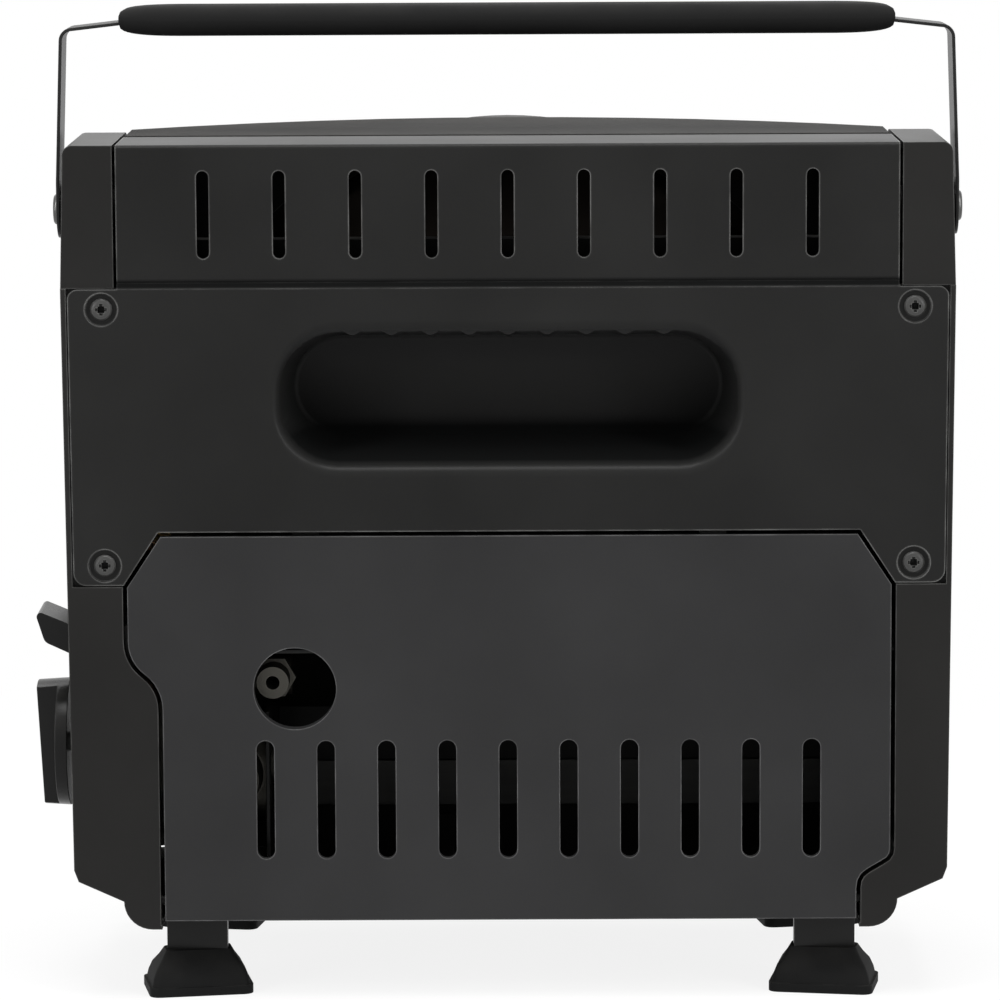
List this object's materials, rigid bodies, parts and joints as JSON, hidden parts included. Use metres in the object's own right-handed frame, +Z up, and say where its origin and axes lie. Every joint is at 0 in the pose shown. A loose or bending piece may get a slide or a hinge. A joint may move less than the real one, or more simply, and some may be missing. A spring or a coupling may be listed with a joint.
{
  "type": "portable propane heater",
  "caption": "Portable radiant gas heater with a leaning round burner front, bail handle, grab recess, hinged fuel door, side knob and release lever, on rubber shoes.",
  "frame": {"origin": "centre of the footprint of the whole heater, on the table", "axes": "+Z up; the burner shines towards -Y; the fuel door and grab recess face +Y; knob and lever are on the +X side"},
  "size_m": [0.2766, 0.1278, 0.2914],
  "materials": {
    "housing_plastic": "fine satin grain, dark warm grey",
    "cover_plastic": "fine satin grain, dark grey",
    "door_plastic": "fine satin grain, dark grey",
    "grip_plastic": "satin, slightly worn",
    "control_plastic": "satin black",
    "black_metal": "satin black powder coat",
    "deck_metal": "satin heat-resistant paint",
    "front_metal": "satin heat-resistant paint",
    "polished_steel": "polished, slightly heat-tinted",
    "bright_wire": "plated wire",
    "sheet_steel": "galvanised sheet",
    "screw_steel": "zinc plated",
    "black_screws": "blackened",
    "burner_steel": "heat-darkened",
    "ceramic": "porous fired clay",
    "die_cast": "cast, bead blasted",
    "brass": "turned",
    "copper_pipe": "drawn tube, dulled",
    "igniter_body": "satin",
    "sensor_ceramic": "glazed",
    "shoe_rubber": "matte moulded rubber"
  },
  "bodies": {
    "heater_body": {"side_housing_right": "housing_plastic", "side_housing_left": "housing_plastic", "rear_cover": "cover_plastic", "cover_screws": "black_screws", "top_deck": "deck_metal", "front_fascia": "front_metal", "bezel_ring": "black_metal", "reflector_dish": "polished_steel", "burner_cup": "burner_steel", "ceramic_plaque": "ceramic", "burner_screen": "burner_steel", "mixing_tube": "sheet_steel", "gas_jet": "brass", "gas_pipe": "copper_pipe", "guard_hoop": "bright_wire", "guard_wires": "bright_wire", "guard_clips": "sheet_steel", "igniter_electrode": "sensor_ceramic", "thermocouple": "brass", "sensor_bracket": "sheet_steel", "heat_shield": "black_metal", "bay_shield": "black_metal", "bay_end_plate": "black_metal", "cartridge_cradle": "black_metal", "regulator_body": "die_cast", "regulator_cap": "die_cast", "hose_inlet": "die_cast", "valve_body": "die_cast", "control_bracket": "sheet_steel", "bracket_screws": "screw_steel", "piezo_igniter": "igniter_body", "lever_pivot_pin": "screw_steel", "base_pan": "black_metal", "leg_right": "black_metal", "leg_left": "black_metal", "leg_screws": "screw_steel", "rubber_shoes": "shoe_rubber", "door_hinge_pins": "black_metal", "door_catches": "sheet_steel", "handle_screws": "screw_steel", "handle_washers": "screw_steel"},
    "handle": {"handle_strap": "black_metal", "handle_grip": "grip_plastic"},
    "door": {"fuel_door": "door_plastic"},
    "lever": {"lock_lever": "control_plastic"},
    "sled": {"cartridge_sled": "sheet_steel"},
    "plunger": {"push_plunger": "brass"},
    "knob": {"valve_spindle": "screw_steel", "control_knob": "control_plastic"}
  },
  "joints": [
    {"name": "handle_swing", "type": "hinge", "parent": "heater_body", "child": "handle", "pos_m": [-0.00265, 0.01389, 0.2306], "axis": [1, 0, 0], "range_deg": [-52, 66]},
    {"name": "door_open", "type": "hinge", "parent": "heater_body", "child": "door", "pos_m": [-0.00265, 0.05889, 0.0295], "axis": [-1, 0, 0], "range_deg": [0, 95]},
    {"name": "lever_press", "type": "hinge", "parent": "heater_body", "child": "lever", "pos_m": [0.10535, 0.02889, 0.1046], "axis": [0, 1, 0], "range_deg": [0, 14]},
    {"name": "sled_slide", "type": "slide", "parent": "heater_body", "child": "sled", "axis": [-1, 0, 0], "range_m": [0, 0.00635]},
    {"name": "plunger_press", "type": "slide", "parent": "heater_body", "child": "plunger", "axis": [-1, 0, 0], "range_m": [0, 0.002], "stiffness_N_per_m": 900, "springref_m": -0.002},
    {"name": "knob_turn", "type": "hinge", "parent": "plunger", "child": "knob", "pos_m": [0.12235, 0.03389, 0.0728], "axis": [1, 0, 0], "range_deg": [0, 180]}
  ],
  "couplings": [
    {"joint": "lever_press", "follows": "sled_slide", "rad_per_m": 38.46}
  ]
}
